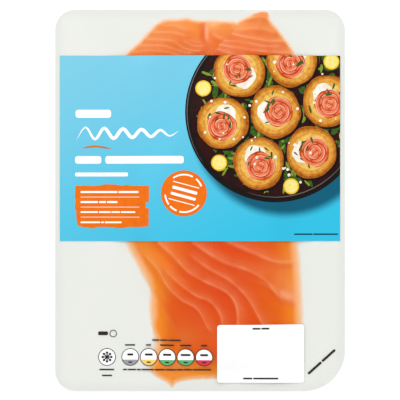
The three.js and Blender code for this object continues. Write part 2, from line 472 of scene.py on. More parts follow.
class Finish:
    """A material with one Principled shader and the nodes that feed it."""

    def __init__(self, name, **settings):
        self.material = bpy.data.materials.new(name)
        self.material.use_nodes = True
        self.tree = self.material.node_tree
        self.shader = self.tree.nodes["Principled BSDF"]
        self.set(**settings)

    def set(self, **settings):
        for key, value in settings.items():
            socket = key.replace("_", " ").title().replace("Ior", "IOR")
            self.feed(self.shader.inputs[socket], value)

    def feed(self, socket, value):
        if isinstance(value, Number):
            value = value.socket
        if isinstance(value, bpy.types.NodeSocket):
            self.tree.links.new(value, socket)
        elif isinstance(value, tuple) and socket.type == "RGBA":
            socket.default_value = (*value, 1)
        else:
            socket.default_value = value

    def node(self, kind, settings=None, inputs=None):
        node = self.tree.nodes.new("ShaderNode" + kind)
        for key, value in (settings or {}).items():
            setattr(node, key, value)
        for key, value in (inputs or {}).items():
            self.feed(node.inputs[key], value)
        return node

    def position(self):
        """The point on the piece, in millimetres, and its x and y."""
        place = self.node("TexCoord").outputs["Object"]
        grow = {"operation": "SCALE"}
        scaled = self.node("VectorMath", grow, {0: place, "Scale": 1 / MM}).outputs[0]
        parts = self.node("SeparateXYZ", None, {0: scaled}).outputs
        return scaled, Number(self, parts["X"]), Number(self, parts["Y"])

    def stretched(self, vector, scale):
        return self.node("Mapping", None, {"Vector": vector, "Scale": scale}).outputs[0]

    def noise(self, vector, scale, detail=3, roughness=0.5, distortion=0):
        inputs = {"Vector": vector, "Scale": scale, "Detail": detail}
        inputs.update(Roughness=roughness, Distortion=distortion)
        return Number(self, self.node("TexNoise", None, inputs).outputs[0])

    def attribute(self, name):
        found = self.node("Attribute", {"attribute_name": name})
        return Number(self, found.outputs["Fac"])

    def ramp(self, value, low, high):
        """0 up to low, 1 from high, smooth between."""
        settings = {"interpolation_type": "SMOOTHSTEP"}
        inputs = {"Value": value, "From Min": low, "From Max": high}
        return Number(self, self.node("MapRange", settings, inputs).outputs[0])

    def mix(self, share, first, second):
        settings = {"data_type": "RGBA"}
        return self.node("Mix", settings, {0: share, 6: first, 7: second}).outputs[2]

    def bump(self, height, distance, strength):
        inputs = {"Height": height, "Distance": distance, "Strength": strength}
        return self.node("Bump", None, inputs).outputs[0]


def paint(red, green, blue, sheen=SATIN_SHEEN):
    """Surface colour that shows as this screen colour, from 0 to 255, in the studio."""

    def linear(part):
        part = part / 255
        return part / 12.92 if part <= 0.04045 else ((part + 0.055) / 1.055) ** 2.4

    lit = [(linear(part) - sheen) / STUDIO_GAIN for part in (red, green, blue)]
    return tuple(min(0.95, max(0.002, part)) for part in lit)


def ink(red, green, blue):
    return paint(red, green, blue, INK_SHEEN)


def board_finish():
    """White laminated board: a faint paper mottle under a satin skin, with painted shade darkening
    it towards its edges.
    """
    finish = Finish("white_board", specular_ior_level=0.3)
    place, x, y = finish.position()
    cloud = finish.noise(place, 0.035, 2)
    fibre = finish.noise(place, 1.6, 4, 0.65)
    pale = finish.mix(finish.ramp(cloud, 0.35, 0.65), paint(237, 238, 233), paint(234, 236, 230))
    speck = finish.ramp(fibre, 0.35, 0.75) * 0.2
    pale = finish.mix(speck, pale, paint(230, 232, 227))
    # Painted shade: darker within a few millimetres of each edge, standing in for the shading of
    # the board's rounded rim.
    side, end = (
        finish.ramp(abs(way), half / MM - 5, half / MM - 1)
        for way, half in ((x, HALF_WIDTH), (y, HALF_LENGTH))
    )
    finish.set(
        base_color=finish.mix((side + end) * 0.9, pale, paint(230, 233, 227)),
        roughness=0.42 + 0.14 * fibre,
        normal=finish.bump(fibre, 0.02 * MM, 0.5),
    )
    return finish.material


def spot(x, y, centre, reach):
    """1 at a place on the slice, falling off smoothly over an oval reach."""
    across = (x - centre[0]) / reach[0]
    upward = (y - centre[1]) / reach[1]
    return math.e ** -(across * across + upward * upward)


# Where a slice's side is cut clean, in millimetres.
CRISP_PLACES = ((-23, -39.5), (-20, -56.5))
CRISP_REACH = (6, 3.5)


def salmon_finish(name, tones, ground):
    """Moist translucent flesh: tones over the slice, pale fat lines with painted shade in the dip
    below each, and a thin pale rim.
    """
    finish = Finish(
        name,
        subsurface_weight=0.08,
        subsurface_radius=(1.0, 0.25, 0.06),
        subsurface_scale=0.8 * MM,
        specular_ior_level=0.08,
    )
    place, x, y = finish.position()
    patchy = finish.ramp(finish.noise(place, 0.16, 2), 0.3, 0.62)
    fat = finish.attribute("fat") * (0.45 + 0.6 * patchy)
    shaded_dip = finish.attribute("shaded_dip")
    depth = finish.attribute("depth")
    cloud = finish.noise(place, 0.11, 3, 0.5, 0.4)
    grain = finish.noise(finish.stretched(place, (0.45, 2.4, 1)), 1.1, 4, 0.6, 0.4)
    flesh = finish.mix(finish.ramp(cloud, 0.3, 0.7) * 0.5, paint(*ground[0]), paint(*ground[1]))
    for centre, reach, colour, share in tones:
        flesh = finish.mix(spot(x, y, centre, reach) * share, flesh, paint(*colour))

    top = finish.ramp(y, 30, 62)
    thin = 1 - finish.ramp(depth, 0.0, SLICE_TAPER / MM)
    amber = finish.mix(top, paint(250, 158, 62), paint(247, 169, 94))
    flesh = finish.mix(thin * (0.85 - 0.35 * top), flesh, amber)
    # Painted shade: darker flesh in the dip just below each fat line.
    flesh = finish.mix(shaded_dip * 0.35, flesh, paint(220, 78, 24))
    flesh = finish.mix(finish.ramp(grain, 0.45, 0.8) * 0.22, flesh, paint(244, 138, 60))
    flesh = finish.mix(fat * 0.62, flesh, paint(247, 170, 126))

    # The pale rim is wide at the sides and crisp at both ends and at the crisp places.
    tip = finish.ramp(y, 80.2, 82)
    crisp = 1 + 0.4 * top + 1.6 * tip + 0.9 * (1 - finish.ramp(y, -78, -66))
    for centre in CRISP_PLACES:
        crisp += 0.9 * spot(x, y, centre, CRISP_REACH)
    ragged = (depth + (grain - 0.5) * 1.6) * crisp
    thinned = finish.ramp(ragged, 1.4 - 0.7 * top, 5.3 - 1.9 * top)
    flesh = finish.mix(1 - thinned, flesh, paint(249, 190, 140))
    finish.set(
        base_color=finish.mix(1 - finish.ramp(ragged, -0.7, 2.3), flesh, paint(243, 236, 226)),
        roughness=0.36 + 0.2 * grain,
        normal=finish.bump(grain * 0.6 + fat * 0.5, 0.12 * MM, 0.6),
    )
    return finish.material


def film_finish():
    """Clear film, a little milky where it is sealed down and glossy at a slant."""
    finish = Finish("clear_film", base_color=(1, 1, 1), roughness=0.1, metallic=0.8)
    place, _, _ = finish.position()
    seal = finish.attribute("seal")
    facing = finish.node("LayerWeight", None, {"Blend": 0.5})
    slant = Number(finish, facing.outputs["Facing"])
    haze = finish.noise(place, 0.25, 2)
    finish.set(
        alpha=0.001 + 0.004 * haze + 0.012 * seal + 0.35 * slant**4,
        normal=finish.bump(finish.noise(place, 0.4, 2), 0.05 * MM, 0.4),
    )
    return finish.material


def ink_finish(name, colour, shade=None, grain_scale=1.4, depth=0.3):
    """Printed ink: its colour wanders a little towards a shade, with a fine screen grain."""
    finish = Finish(f"{name}_ink", specular_ior_level=0.1)
    place, _, _ = finish.position()
    other = shade or tuple(part * 0.86 for part in colour)
    grain = finish.noise(place, grain_scale, 3, 0.6)
    finish.set(
        base_color=finish.mix(finish.ramp(grain, 0.35, 0.75) * depth, colour, other),
        roughness=0.36 + 0.1 * grain,
    )
    return finish.material


def label_finish():
    """Blue label stock, paler to the upper left, with the soft shadow of the dish."""
    finish = Finish("blue_label", specular_ior_level=0.1)
    place, x, y = finish.position()
    fall = (x + 58) * 0.004 + (60 - y) * 0.0085
    blue = finish.mix(finish.ramp(fall, -0.25, 1.15), ink(132, 206, 230), ink(45, 191, 227))
    grain = finish.noise(place, 2.2, 3, 0.6)
    blue = finish.mix(grain * 0.06, blue, ink(160, 220, 240))
    out = (x - DISH_SHADOW_CENTRE[0]) ** 2 + (y - DISH_SHADOW_CENTRE[1]) ** 2
    shade = 1 - finish.ramp(out**0.5, DISH_RADIUS - 1.5, DISH_RADIUS + 3.5)
    finish.set(
        base_color=finish.mix(shade, blue, ink(0, 96, 122)),
        roughness=0.36 + 0.1 * grain,
        normal=finish.bump(grain, 0.01 * MM, 0.4),
    )
    return finish.material


# ---- pieces


def draw_up():
    """In edit mode: the flat faces become a block one metre high. Leaves edit mode."""
    bpy.ops.mesh.select_all(action="SELECT")
    bpy.ops.mesh.extrude_region_move(TRANSFORM_OT_translate={"value": (0, 0, 1)})
    bpy.ops.mesh.select_all(action="SELECT")
    bpy.ops.mesh.normals_make_consistent(inside=False)
    bpy.ops.object.mode_set(mode="OBJECT")


def slab(name, columns, rows, place, low, high, crowding=0.0):
    """A closed sheet: a flat grid is drawn up into a block, and laid between two heights.
    Crowding draws its rows and columns towards the edges."""
    deselect()
    bpy.ops.mesh.primitive_grid_add(x_subdivisions=columns, y_subdivisions=rows, size=1)
    piece = named(name)
    bpy.ops.object.mode_set(mode="EDIT")
    draw_up()
    points = read_points(piece).T
    shares = np.clip(points[:2] + 0.5, 0, 1)
    shares -= crowding * np.sin(math.tau * shares) / math.tau
    x, y = place(*shares)
    write_points(piece, x, y, np.where(points[2] > 0.5, high(x, y), low(x, y)))
    bpy.ops.object.shade_smooth_by_angle(angle=SMOOTH_ANGLE)
    return piece


def finished(piece, material, slot, *replaced):
    piece.data.materials.append(material)
    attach(piece, "root")
    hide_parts(*replaced)


# Fat lines: width in millimetres, strength, and points, left to right or downwards.
OVER_FAT = [
    (1.1, 0.9, (5, -15), (12.9, -18.5), (23.1, -22.9), (30.8, -26.2), (35.7, -27.3), (42.5, -27)),
    (1.0, 1.0, (-3.2, -18.3), (5, -24), (10.5, -27), (21.5, -30.9), (29.1, -35.3), (35.2, -42.1),
     (43, -43)),
    (0.9, 0.85, (-2.7, -25.4), (4.4, -30.1), (13.2, -35.3), (20.4, -42.1), (24.7, -49.3),
     (27.8, -55)),
    (1.0, 0.95, (-18.1, -18.3), (-12, -24), (-5.4, -30.9), (3.3, -36.1), (12.1, -40.5),
     (16, -46.5), (16.5, -56)),
    (0.8, 0.8, (-14.2, -31.7), (-7.6, -37.5), (-1.1, -42.1), (3.3, -43.5), (8.3, -48.7),
     (10.2, -56)),
    (0.8, 0.8, (-25.8, -22.4), (-18.6, -30.1), (-13.7, -38.3), (-7.6, -43.8), (-1.1, -47.6),
     (3.6, -56)),
    (4.4, 1.3, (36.5, -41.5), (40.5, -43.2), (44.5, -44)),
    (1.1, 0.9, (23, 80.3), (26.1, 80.6), (29.2, 80.1)),
    (1.2, 1.0, (16.9, 74.6), (22.2, 75.2), (27.4, 75), (32.3, 73.8)),
    (1.1, 1.2, (13.7, 73), (19.5, 71.6), (24.6, 70.7), (29.5, 69.9), (38.3, 69.9)),
    (0.9, 1.0, (10.9, 69.7), (17.3, 69.4), (22.2, 68.5), (27.4, 67.5), (34.4, 67.5)),
    (1.1, 1.1, (8.6, 68), (13, 67.2), (17.8, 66.4), (23, 65.6), (27.4, 65.2), (41.5, 64.4)),
    (0.9, 1.0, (7.7, 66.1), (11, 65), (14.3, 63.7), (17.8, 62.1)),
]
UNDER_FAT = [
    (0.9, 0.8, (-16.5, 76.8), (-10.9, 76.4), (-6, 74.6)),
    (0.9, 0.9, (-20, 73.6), (-13.1, 73.6), (-6.5, 72.2)),
    (0.9, 1.0, (-23.4, 70.6), (-16.3, 70.3), (-11.4, 69.4), (-7.8, 66.9), (-3.1, 65.5),
     (-0.2, 65.3)),
    (0.9, 1.0, (-26.2, 67.9), (-16.5, 67.7), (-12.5, 66.6), (-7, 64.8), (-4.4, 64.3)),
    (1.0, 0.9, (-29.6, 65.1), (-21.9, 65.7), (-12, 64.3), (-4, 60)),
    (0.9, 0.9, (-6.6, 69.4), (-4.4, 68), (-1.8, 67.4), (1, 67.3)),
    (0.7, 0.7, (-4.2, 70), (-1.8, 69.2), (0.2, 69.1)),
    (1.0, 1.2, (2.9, 77.7), (2.9, 71)),
    (1.8, 0.7, (6, 72.4), (9.2, 70.9)),
]


def fat_over(x, y, lines):
    """How much fat shows at each point, and how deep the flesh dips just below a line, where the
    dip is also painted darker as shade.
    """
    fat = np.zeros_like(x)
    shaded_dip = np.zeros_like(x)
    for width, strength, *points in lines:
        path = curve_through(points, 5)
        distance, _, side, _ = nearest_on(path, x, y)
        distance = distance / MM
        reach = width * np.where(side > 0, 0.65, 0.45)
        line = np.exp(-((distance / reach) ** 2))
        glow = 0.4 * np.exp(-((distance / (4.5 * reach)) ** 2)) * (side > 0)
        below = np.exp(-(((distance - 1.9) / 1.6) ** 2)) * (side < 0)
        fat = np.maximum(fat, strength * np.maximum(line, glow))
        shaded_dip = np.maximum(shaded_dip, strength * below)
    return fat, shaded_dip


def salmon_slice(name, plan, low, lines, seed):
    def high(x, y):
        depth = plan.depth(x, y)
        fat, shaded_dip = fat_over(x, y, lines)
        relief = SWELL_HEIGHT * ripple(x, y, SWELL_LENGTH, seed)
        relief -= FAT_DIP * (np.minimum(fat, 1) + shaded_dip)
        return low(x, y) + slice_thickness(depth) + relief * smooth_step(depth / RELIEF_REACH)

    piece = slab(name, SLICE_COLUMNS, SLICE_ROWS, plan.place, low, high, SLICE_CROWDING)
    x, y, _ = read_points(piece).T
    fat, shaded_dip = fat_over(x, y, lines)
    depth = food_depth(x, y)
    seam = np.exp(-((plan.depth(x, y) / MM - 0.4) ** 2) / 0.3)
    seam *= smooth_step(depth / (3 * MM) - 0.5) * (0.6 + 0.4 * smooth_step((y / MM - 40) / 20))
    write_attribute(piece, "fat", np.maximum(fat, 0.4 * seam))
    write_attribute(piece, "shaded_dip", shaded_dip)
    write_attribute(piece, "depth", depth / MM)
    return piece


def board_low(x, y):
    return np.full_like(x, BOARD_TOP)


OVER_GROUND = ((224, 88, 36), (230, 100, 46))
UNDER_GROUND = ((236, 116, 46), (242, 132, 66))

# Soft patches of another tone: centre and reach in millimetres, screen colour and share.
OVER_TONES = [
    ((16, -20), (20, 6), (228, 84, 44), 0.6),
    ((8, -40), (16, 10), (221, 80, 30), 0.5),
    ((-22, -28), (12, 18), (250, 150, 64), 0.8),
    ((38, -36), (11, 26), (240, 124, 42), 0.75),
    ((42, -68), (9, 16), (238, 124, 44), 0.7),
    ((-14, -47), (6, 5), (228, 96, 2), 0.9),
    ((1, -53), (8, 6), (228, 98, 56), 0.6),
    ((-6, -66), (9, 9), (230, 104, 44), 0.5),
    ((-7.5, -60), (6, 5.5), (229, 120, 66), 0.75),
    ((1, -60), (7, 7), (226, 108, 60), 0.5),
    ((14.5, 72.5), (4, 3), (234, 120, 60), 0.5),
    ((24, 74), (16, 13), (237, 136, 72), 0.85),
    ((26, 63), (16, 5), (231, 120, 62), 0.7),
    ((13, 65), (7, 3.5), (236, 132, 80), 0.8),
    ((15, 75.5), (4, 3), (240, 150, 88), 0.7),
    ((11.5, 70), (3.5, 4), (234, 134, 76), 0.7),
    ((12.4, 72.3), (2.2, 1.1), (234, 112, 40), 0.8),
]
UNDER_TONES = [
    ((-18, 72), (14, 10), (243, 152, 84), 0.8),
    ((-3, 64), (13, 7), (231, 120, 62), 0.7),
    ((1, 74), (1.1, 3.4), (228, 100, 36), 0.7),
    ((2.9, 74.2), (0.8, 3.4), (247, 186, 158), 0.9),
    ((-2.4, 75), (3, 1.6), (240, 130, 44), 0.5),
    ((5.8, 77.2), (3, 1.9), (245, 194, 140), 0.95),
    ((4, 66), (3.5, 3), (240, 130, 84), 0.7),
    ((12.6, 75.6), (2.6, 1.2), (236, 132, 52), 0.7),
    ((12.1, 72.3), (2.8, 1.2), (236, 118, 48), 0.7),
    ((13.6, 73.6), (3.2, 1.2), (226, 108, 40), 0.6),
    ((15.5, 76.9), (1.4, 1.6), (243, 210, 180), 0.7),
    ((-15.6, -46.4), (4.5, 3.2), (229, 102, 8), 0.85),
    ((-16, -54), (5, 10), (236, 120, 20), 0.8),
    ((-14.5, -59), (4.5, 7), (220, 84, 4), 0.75),
    ((-12, -76), (14, 6), (245, 152, 94), 0.7),
]

for name, node, plan, low, lines, seed, tones, ground in (
    ("under", "slice_under", UNDER, board_low, UNDER_FAT, 3, UNDER_TONES, UNDER_GROUND),
    ("over", "slice_top", OVER, over_low, OVER_FAT, 11, OVER_TONES, OVER_GROUND),
):
    fish = salmon_slice(f"salmon_slice_{name}", plan, low, lines, seed)
    finished(fish, salmon_finish(f"salmon_flesh_{name}", tones, ground), "salmon", node)

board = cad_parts["backing_board"]
board.data.materials.clear()
board.data.materials.append(board_finish())

film = slab("clear_cover_film", PACK.columns, PACK.rows, PACK.place, film_low, film_high)
seal_depth = PACK.edge_distance(*read_points(film).T[:2])
write_attribute(film, "seal", 1 - smooth_step(seal_depth / SEAL_HAZE_WIDTH))
finished(film, film_finish(), "film", "cover_film")


def label_place(u, v):
    x = LABEL_LOW.x + (LABEL_HIGH.x - LABEL_LOW.x) * u
    y = LABEL_LOW.y + (LABEL_HIGH.y - LABEL_LOW.y) * v
    return x, y


label_columns = round((LABEL_HIGH.x - LABEL_LOW.x) / LABEL_CELL)
label_rows = round((LABEL_HIGH.y - LABEL_LOW.y) / LABEL_CELL)
label = slab("front_label_sheet", label_columns, label_rows, label_place, label_low, label_high)
finished(label, label_finish(), "label", "front_label")

panel = slab("date_panel_patch", PANEL.columns, PANEL.rows, PANEL.place, label_low, label_high)
finished(panel, ink_finish("panel", PRINT_WHITE), "panel", "date_panel")

# ---- printed shapes, in millimetres


def polar(centre, far, turn):
    """A place, or places, at a distance from a centre and an angle in radians."""
    return np.stack([centre[0] + far * np.cos(turn), centre[1] + far * np.sin(turn)], axis=-1)


def disc(x, y, radius, wobble=0.0, seed=0):
    """A round patch. Wobble makes its edge uneven."""
    count = max(14, min(96, round(radius * 10)))
    turns = np.linspace(0, math.tau, count, endpoint=False)
    draw = random.Random(seed)
    reach = np.full(count, float(radius))
    for lobes in (2, 3, 5, 8):
        size = wobble * radius * draw.uniform(0.3, 1) / math.sqrt(lobes)
        reach += size * np.sin(lobes * turns + draw.uniform(0, 6))
    return polar((x, y), reach, turns)


def arc(x, y, radius, width, start, end, taper=0.0):
    """A curved band between two angles in degrees. Taper thins its ends."""
    turns = np.radians(np.linspace(start, end, max(6, round(abs(end - start) / 6))))
    half = width / 2 * (1 - taper * np.linspace(-1, 1, len(turns)) ** 2)
    outer = polar((x, y), radius + half, turns)
    inner = polar((x, y), radius - half, turns)
    return np.vstack([outer, inner[::-1]])


def segment(x, y, radius, cut):
    """The part of a round patch that lies below a height."""
    reach = math.degrees(math.asin((cut - y) / radius))
    return polar((x, y), radius, np.radians(np.linspace(180 - reach, 360 + reach, 24)))


def stroke(points, width):
    """A brush stroke along a curve, with its ends drawn out to points."""
    path = curve_through(points, 5) / MM
    ways = np.gradient(path, axis=0)
    ways /= np.linalg.norm(ways, axis=1)[:, None]
    sides = np.stack([-ways[:, 1], ways[:, 0]], axis=1)
    ends = np.abs(np.linspace(-1, 1, len(path))) ** 3
    half = np.maximum(width / 2 * (1 - ends), 0.03)[:, None]
    return np.vstack([path + sides * half, (path - sides * half)[::-1]])


def bar(left, low, right, high):
    """A word's place: a bar with softly rounded corners."""
    radius = 0.3 * (high - low)
    corner = polar((0, 0), radius, np.radians(np.arange(0, 91, 30)))
    mirrored = corner[::-1] * (-1, 1)
    return np.vstack([
        corner + (right - radius, high - radius),
        mirrored + (left + radius, high - radius),
        -corner + (left + radius, low + radius),
        -mirrored + (right - radius, low + radius),
    ])


def words(left, right, middle, height, shares=(1,)):
    """A line of bars, as long as their shares of the line."""
    gap = 0.55 * height
    width = (right - left - gap * (len(shares) - 1)) / sum(shares)
    bars = []
    for share in shares:
        bars.append(bar(left, middle - height / 2, left + share * width, middle + height / 2))
        left += share * width + gap
    return bars


def turned(outlines, centre, degrees):
    turn = math.radians(degrees)
    cos, sin = math.cos(turn), math.sin(turn)
    return [(outline - centre) @ ((cos, sin), (-sin, cos)) + centre for outline in outlines]


def leaf(x, y, length, width, degrees):
    turns = np.linspace(0, math.tau, 14, endpoint=False)
    across = width / 2 * np.sin(turns) * (0.75 + 0.25 * np.cos(turns))
    outline = np.stack([x + length / 2 * np.cos(turns), y + across], axis=1)
    return turned([outline], (x, y), degrees)[0]


def lifts_of(outlines):
    """A small height for each shape, so that shapes that may overlap never share one."""
    placed = []
    for outline in outlines:
        centre = outline.mean(axis=0)
        reach = np.linalg.norm(outline - centre, axis=1).max()
        taken = {
            lift
            for lift, other, other_reach in placed
            if np.linalg.norm(other - centre) < reach + other_reach
        }
        lift = min(set(range(len(taken) + 1)) - taken)
        placed.append((lift, centre, reach))
        yield lift


def printed(name, material, level, outlines, on="front_label"):
    """Shapes in one ink: flat patches are cut along the sheet's own cells, drawn up and laid
    on the film or the label, each level above the last."""
    low, high = (LABEL_LOW, LABEL_HIGH) if on == "front_label" else (BOARD_LOW, BOARD_HIGH)
    deselect()
    bpy.ops.mesh.primitive_circle_add(vertices=len(outlines[0]), fill_type="NGON")
    piece = named(f"{name}_print")
    bpy.ops.object.mode_set(mode="EDIT")
    for outline in outlines[1:]:
        bpy.ops.mesh.primitive_circle_add(vertices=len(outline), fill_type="NGON")
    bpy.ops.object.mode_set(mode="OBJECT")
    flat = np.vstack(outlines) * MM
    lifts = np.array(list(lifts_of(outlines))) * INK_LIFT
    write_points(piece, flat[:, 0], flat[:, 1], np.repeat(lifts, [len(line) for line in outlines]))

    bpy.ops.object.mode_set(mode="EDIT")
    bpy.ops.mesh.select_all(action="SELECT")
    bpy.ops.mesh.quads_convert_to_tris(ngon_method="BEAUTY")
    for axis in (0, 1):
        normal = [0, 0, 0]
        normal[axis] = 1
        cells = round((high[axis] - low[axis]) / LABEL_CELL)
        for place in np.linspace(low[axis], high[axis], cells + 1):
            if not flat[:, axis].min() < place < flat[:, axis].max():
                continue
            point = [0, 0, 0]
            point[axis] = float(place)
            bpy.ops.mesh.select_all(action="SELECT")
            bpy.ops.mesh.bisect(
                plane_co=point,
                plane_no=normal,
                clear_inner=bool(place == low[axis]),
                clear_outer=bool(place == high[axis]),
            )
    draw_up()

    x, y, height = read_points(piece).T
    raised = height > 0.5
    lift = height - raised + level * INK_STEP
    sheet = film_high(x, y) if on == "cover_film" else label_high(x, y)
    write_points(piece, x, y, sheet + STICKER_GAP / 2 + lift + raised * INK_THICKNESS)
    bpy.ops.object.shade_smooth_by_angle(angle=SMOOTH_ANGLE)
    slot = {"front_label": "label", "date_panel": "panel", "cover_film": "film"}[on]
    finished(piece, material, slot, on)


# ---- the dish on the label


def round_the_dish(count, radius, start=0.0):
    """Places evenly spaced round the middle of the dish."""
    for k in range(count):
        yield polar(DISH_CENTRE, radius, math.radians(start + 360 * k / count))


def scattered(count, reach, seed):
    draw = random.Random(seed)
    for _ in range(count):
        turn = draw.uniform(0, math.tau)
        yield *polar(DISH_CENTRE, reach * math.sqrt(draw.random()), turn), draw


def print_plate():
    rim = ink_finish("plate_rim", ink(38, 32, 30), ink(30, 28, 28), 0.5, 0.8)
    well = ink_finish("plate_well", ink(56, 30, 22), ink(32, 28, 27), 0.25, 0.9)
    printed("plate_rim", rim, 0, [disc(*DISH_CENTRE, DISH_RADIUS)])
    printed("plate_well", well, 1, [disc(*DISH_CENTRE, WELL_RADIUS)])
    shine = [
        arc(*DISH_CENTRE, DISH_RADIUS - 0.8, 0.4, 105, 215, 0.9),
        arc(*DISH_CENTRE, DISH_RADIUS - 2.2, 0.4, 250, 330, 0.9),
    ]
    printed("plate_shine", ink_finish("plate_shine", ink(110, 104, 100)), 2, shine)


def print_herbs(green):
    """A bed of broad dark leaves with narrow bright ones over it."""
    bright = ink_finish("young_herb", ink(140, 162, 60), ink(92, 128, 42), 1.2, 0.9)
    for name, tone, level, margin, seed, lengths, widths in (
        ("herb_bed", green, 2, 6.5, 21, (5, 9), (2.4, 4.4)),
        ("young_herb", bright, 3, 5, 22, (3, 5.5), (1, 1.8)),
    ):
        leaves = [
            leaf(x, y, draw.uniform(*lengths), draw.uniform(*widths), draw.uniform(0, 360))
            for x, y, draw in scattered(150, DISH_RADIUS - margin, seed)
        ]
        printed(name, tone, level, leaves)


def print_lemons():
    peel = ink_finish("lemon_peel", ink(244, 200, 44), ink(226, 172, 30), 0.8, 0.8)
    lemon = ink_finish("lemon", ink(253, 236, 150), ink(246, 218, 96), 0.9, 0.9)
    slices = list(round_the_dish(6, LEMON_RING, 42))
    printed("lemon_peel", peel, 3.5, [disc(x, y, 3.5) for x, y in slices])
    printed("lemon", lemon, 4, [disc(x, y, 2.9) for x, y in slices])


def print_pancakes(places):
    """From the shade under each pancake in to its pale middle."""
    for k, (part, share, drop, tone, shade) in enumerate((
        ("shade", 1.0, 0.9, ink(40, 26, 10), ink(26, 18, 8)),
        ("crust", 1.0, 0.0, ink(184, 104, 34), ink(132, 70, 28)),
        ("rim", 0.93, -0.1, ink(208, 136, 50), ink(176, 98, 36)),
        ("crumb", 0.85, -0.1, ink(228, 170, 72), ink(208, 128, 46)),
        ("middle", 0.7, -0.1, ink(241, 200, 106), ink(224, 158, 64)),
    )):
        pancakes = [
            disc(x + drop, y - drop, PANCAKE_RADIUS * share, 0.04, seed + k // 2)
            for seed, (x, y) in enumerate(places)
        ]
        baked = ink_finish(f"pancake_{part}", tone, shade, 0.6, 0.9)
        printed(f"pancake_{part}", baked, 4.5 + 0.8 * k, pancakes)


def print_toppings(places, green):
    """Cream, a rosette rolled of ribbons and herb tips on each pancake, then drops."""
    cream = ink_finish("cream", ink(252, 247, 236), ink(232, 220, 198), 0.5, 0.9)
    deep = ink_finish("rosette_deep", ink(208, 84, 46), ink(172, 58, 30), 0.6, 0.9)
    coral = ink_finish("rosette", ink(240, 136, 96), ink(226, 102, 62), 0.7, 0.9)
    pale = ink_finish("rosette_edge", ink(253, 206, 182), ink(244, 176, 146), 0.9, 0.7)
    dollops, hearts, ribbons, edges, tips = [], [], [], [], []
    draw = random.Random(31)
    for k, place in enumerate(places):
        turn = draw.uniform(0, 360)
        dollops.append(disc(*polar(place, -CREAM_OFFSET, math.radians(turn)), 4.8, 0.08, k + 20))
        rose = polar(place, ROSETTE_OFFSET, math.radians(turn))
        hearts.append(disc(*rose, ROSETTE_RADIUS, 0.06, k + 40))
        for ring, share in enumerate((0.86, 0.6, 0.36, 0.14)):
            radius = share * ROSETTE_RADIUS
            for half_turn in (0, 180):
                begin = turn + 75 * ring + half_turn
                ribbons.append(arc(*rose, radius, 1.3, begin, begin + 165, 0.7))
                edges.append(arc(*rose, radius + 0.6, 0.3, begin + 15, begin + 140, 0.9))
        for _ in range(7):
            way = math.radians(turn + draw.uniform(100, 260))
            tip = polar(rose, draw.uniform(3, 9), way)
            length = draw.uniform(1.8, 3.6)
            tips.append(leaf(*tip, length, length / 3, draw.uniform(0, 360)))
    drops = [
        disc(x, y, more.uniform(0.3, 0.8), 0.1, more.random())
        for x, y, more in scattered(46, DISH_RADIUS - 6, 23)
    ]
    printed("cream", cream, 9, dollops)
    printed("rosette_deep", deep, 10, hearts)
    printed("rosette", coral, 11, ribbons)
    printed("rosette_edge", pale, 12, edges)
    printed("herb_tip", green, 13, tips)
    printed("cream_drop", cream, 14, drops)


def print_dish():
    """Little pancakes on a dark plate, each with cream, a coral rosette and herbs."""
    green = ink_finish("herb", ink(70, 104, 44), ink(34, 66, 24), 1.2, 0.9)
    places = [DISH_CENTRE, *round_the_dish(6, PANCAKE_RING, 12)]
    print_plate()
    print_herbs(green)
    print_lemons()
    print_pancakes(places)
    print_toppings(places, green)


# ---- the rest of the label's print

TITLE_LEFT = -54.8
ROWS_LEFT = -52.4
STAMP_CENTRE = (-7.0, 2.9)
STAMP_RADIUS = 10.0


def wave():
    """A line of twelve crests and troughs that grow lower to the right."""
    crests = []
    for k in range(12):
        height = 2.9 - 0.17 * k
        crests.append((-54.3 + 4.1 * k, 29.2 + (height if k % 2 else -height)))
    return stroke(crests, 1.5)


def brushed_block():
    """A block with uneven long edges and a notch in its right side."""
    draw = random.Random(4)
    top = [(x, 6.4 + draw.uniform(-0.3, 0.6)) for x in np.arange(-54.6, -23, 2.2)]
    right = [(-22.2, 6), (-22.3, -0.9), (-23.7, -1), (-23.7, -3.5), (-22.3, -3.5), (-22.4, -11.4)]
    low = [(x, -12.0 + draw.uniform(-0.6, 0.3)) for x in np.arange(-25, -52, -2.2)]
    left = [(-53.8, -11.0), (-54.4, -6.5), (-54.2, -4.6), (-55, -3.9), (-54.6, 0.4), (-55, 1)]
    return np.array(top + right + low + left)


def block_rows():
    rows = []
    for middle, right, height, shares in (
        (3.5, -26.9, 0.85, (11, 6)),
        (-0.9, -36.2, 0.85, (5, 2, 3)),
        (-5.3, -28.3, 0.7, (6, 4, 3, 5)),
        (-9.8, -34.4, 0.7, (7, 1, 6)),
    ):
        rows += words(ROWS_LEFT, right, middle, height, shares)
    return rows + [bar(ROWS_LEFT, y - 0.1, -26.5, y + 0.1) for y in (1.3, -3.1, -7.5)]


def stamp_rows():
    """Bands round the stamp and four bars across it, tilted together."""
    ring = [(125, 62), (50, 22), (184, 216), (223, 247), (256, 322)]
    across = [(-12.9, 6.6, -1.2, 7.0), (-12.9, -1.2, -1.2, -0.8), (-12.6, 3.7, -1.4, 5.0)]
    across.append((-12.6, 1.0, -1.4, 2.2))
    bands = [arc(*STAMP_CENTRE, 8.2, 0.7, start, end) for start, end in ring]
    return bands + turned([bar(*sides) for sides in across], STAMP_CENTRE, -15)


